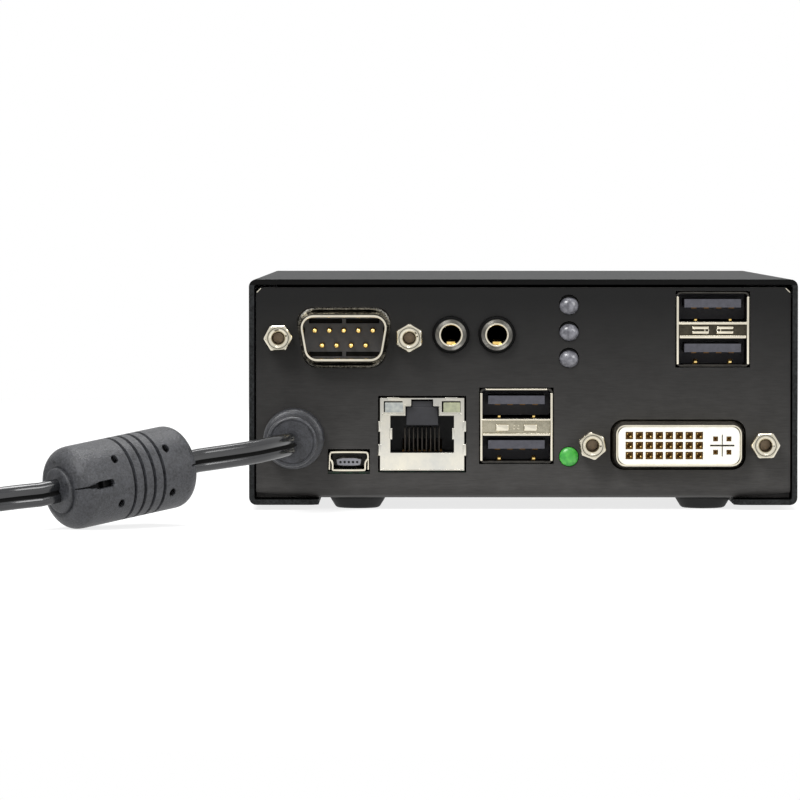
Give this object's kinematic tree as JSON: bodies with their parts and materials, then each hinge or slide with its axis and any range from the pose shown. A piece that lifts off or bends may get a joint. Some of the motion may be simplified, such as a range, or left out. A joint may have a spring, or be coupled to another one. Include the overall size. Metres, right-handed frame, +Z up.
{
  "type": "kvm extender receiver",
  "caption": "Small black sheet-metal box with serial, sound, USB, network and video sockets, status lamps, rubber feet, and a plug-in power lead with a ferrite.",
  "frame": {"origin": "on the table under the middle of the box, between its front and back", "axes": "+Z up, the connector panel faces -Y, +X to the right of somebody who looks at the panel"},
  "size_m": [0.2547, 0.214, 0.0442],
  "materials": {
    "cover_black": "black powder coat, fine texture",
    "panel_black": "dark grey powder coat, satin",
    "screw_black": "black oxide",
    "foot_rubber": "matte moulded rubber",
    "board_green": "green solder mask",
    "plated_steel": "nickel plate, satin",
    "brass": "turned brass",
    "black_plastic": "black moulded plastic",
    "grey_plastic": "dark grey moulded plastic",
    "cream_plastic": "cream moulded plastic",
    "gold_contact": "gold flash on contact metal",
    "lens_grey": "clear grey lens",
    "lens_green": "diffused green lens",
    "sink_aluminium": "dark anodised",
    "capacitor_can": "sleeved can",
    "ferrite_grey": "sintered ferrite",
    "lead_vinyl": "flexible vinyl, satin",
    "housing_plastic": "dark grey moulded plastic",
    "tie_plastic": "black woven tie",
    "adapter_plastic": "black moulded plastic, fine texture"
  },
  "bodies": {
    "receiver": {"cover": "cover_black", "chassis": "panel_black", "cover_screws": "screw_black", "rubber_feet": "foot_rubber", "main_board": "board_green", "upper_board": "board_green", "floor_pillars": "plated_steel", "board_spacers": "brass", "board_screws": "plated_steel", "board_headers": "black_plastic", "processor": "black_plastic", "heat_sink": "sink_aluminium", "memory_chips": "black_plastic", "interface_chips": "black_plastic", "network_transformer": "black_plastic", "capacitors": "capacitor_can", "inductors": "ferrite_grey", "crystal": "plated_steel", "serial_shell": "plated_steel", "serial_insulator": "black_plastic", "serial_pins": "gold_contact", "serial_jackscrews": "plated_steel", "sound_socket_bodies": "black_plastic", "sound_socket_bushes": "plated_steel", "status_lamp_holder": "black_plastic", "status_lamps": "lens_grey", "power_lamp_holder": "black_plastic", "power_lamp": "lens_green", "upper_usb_shell": "plated_steel", "upper_usb_insulator": "grey_plastic", "upper_usb_contacts": "gold_contact", "lower_usb_shell": "plated_steel", "lower_usb_insulator": "grey_plastic", "lower_usb_contacts": "gold_contact", "network_shell": "plated_steel", "network_body": "black_plastic", "network_contacts": "gold_contact", "network_lamps": "lens_green", "mini_usb_shell": "plated_steel", "mini_usb_tongue": "grey_plastic", "mini_usb_contacts": "gold_contact", "video_shell": "plated_steel", "video_insert": "cream_plastic", "video_contacts": "gold_contact", "video_jackscrews": "plated_steel", "power_inlet": "black_plastic", "power_inlet_pin": "plated_steel"},
    "power_lead": {"plug_sleeve": "plated_steel", "plug_grip": "lead_vinyl", "lead_front": "lead_vinyl", "ferrite_housing": "housing_plastic", "lead_rear": "lead_vinyl", "lead_coil": "lead_vinyl", "coil_tie": "tie_plastic", "lead_tail": "lead_vinyl", "adapter_relief": "lead_vinyl", "adapter_shell": "adapter_plastic", "adapter_lid": "adapter_plastic", "adapter_blades": "plated_steel", "adapter_supply": "board_green"}
  },
  "joints": [
    {"name": "plug_pull", "type": "slide", "parent": "receiver", "child": "power_lead", "axis": [0, -1, 0], "range_m": [0, 0.01]}
  ]
}
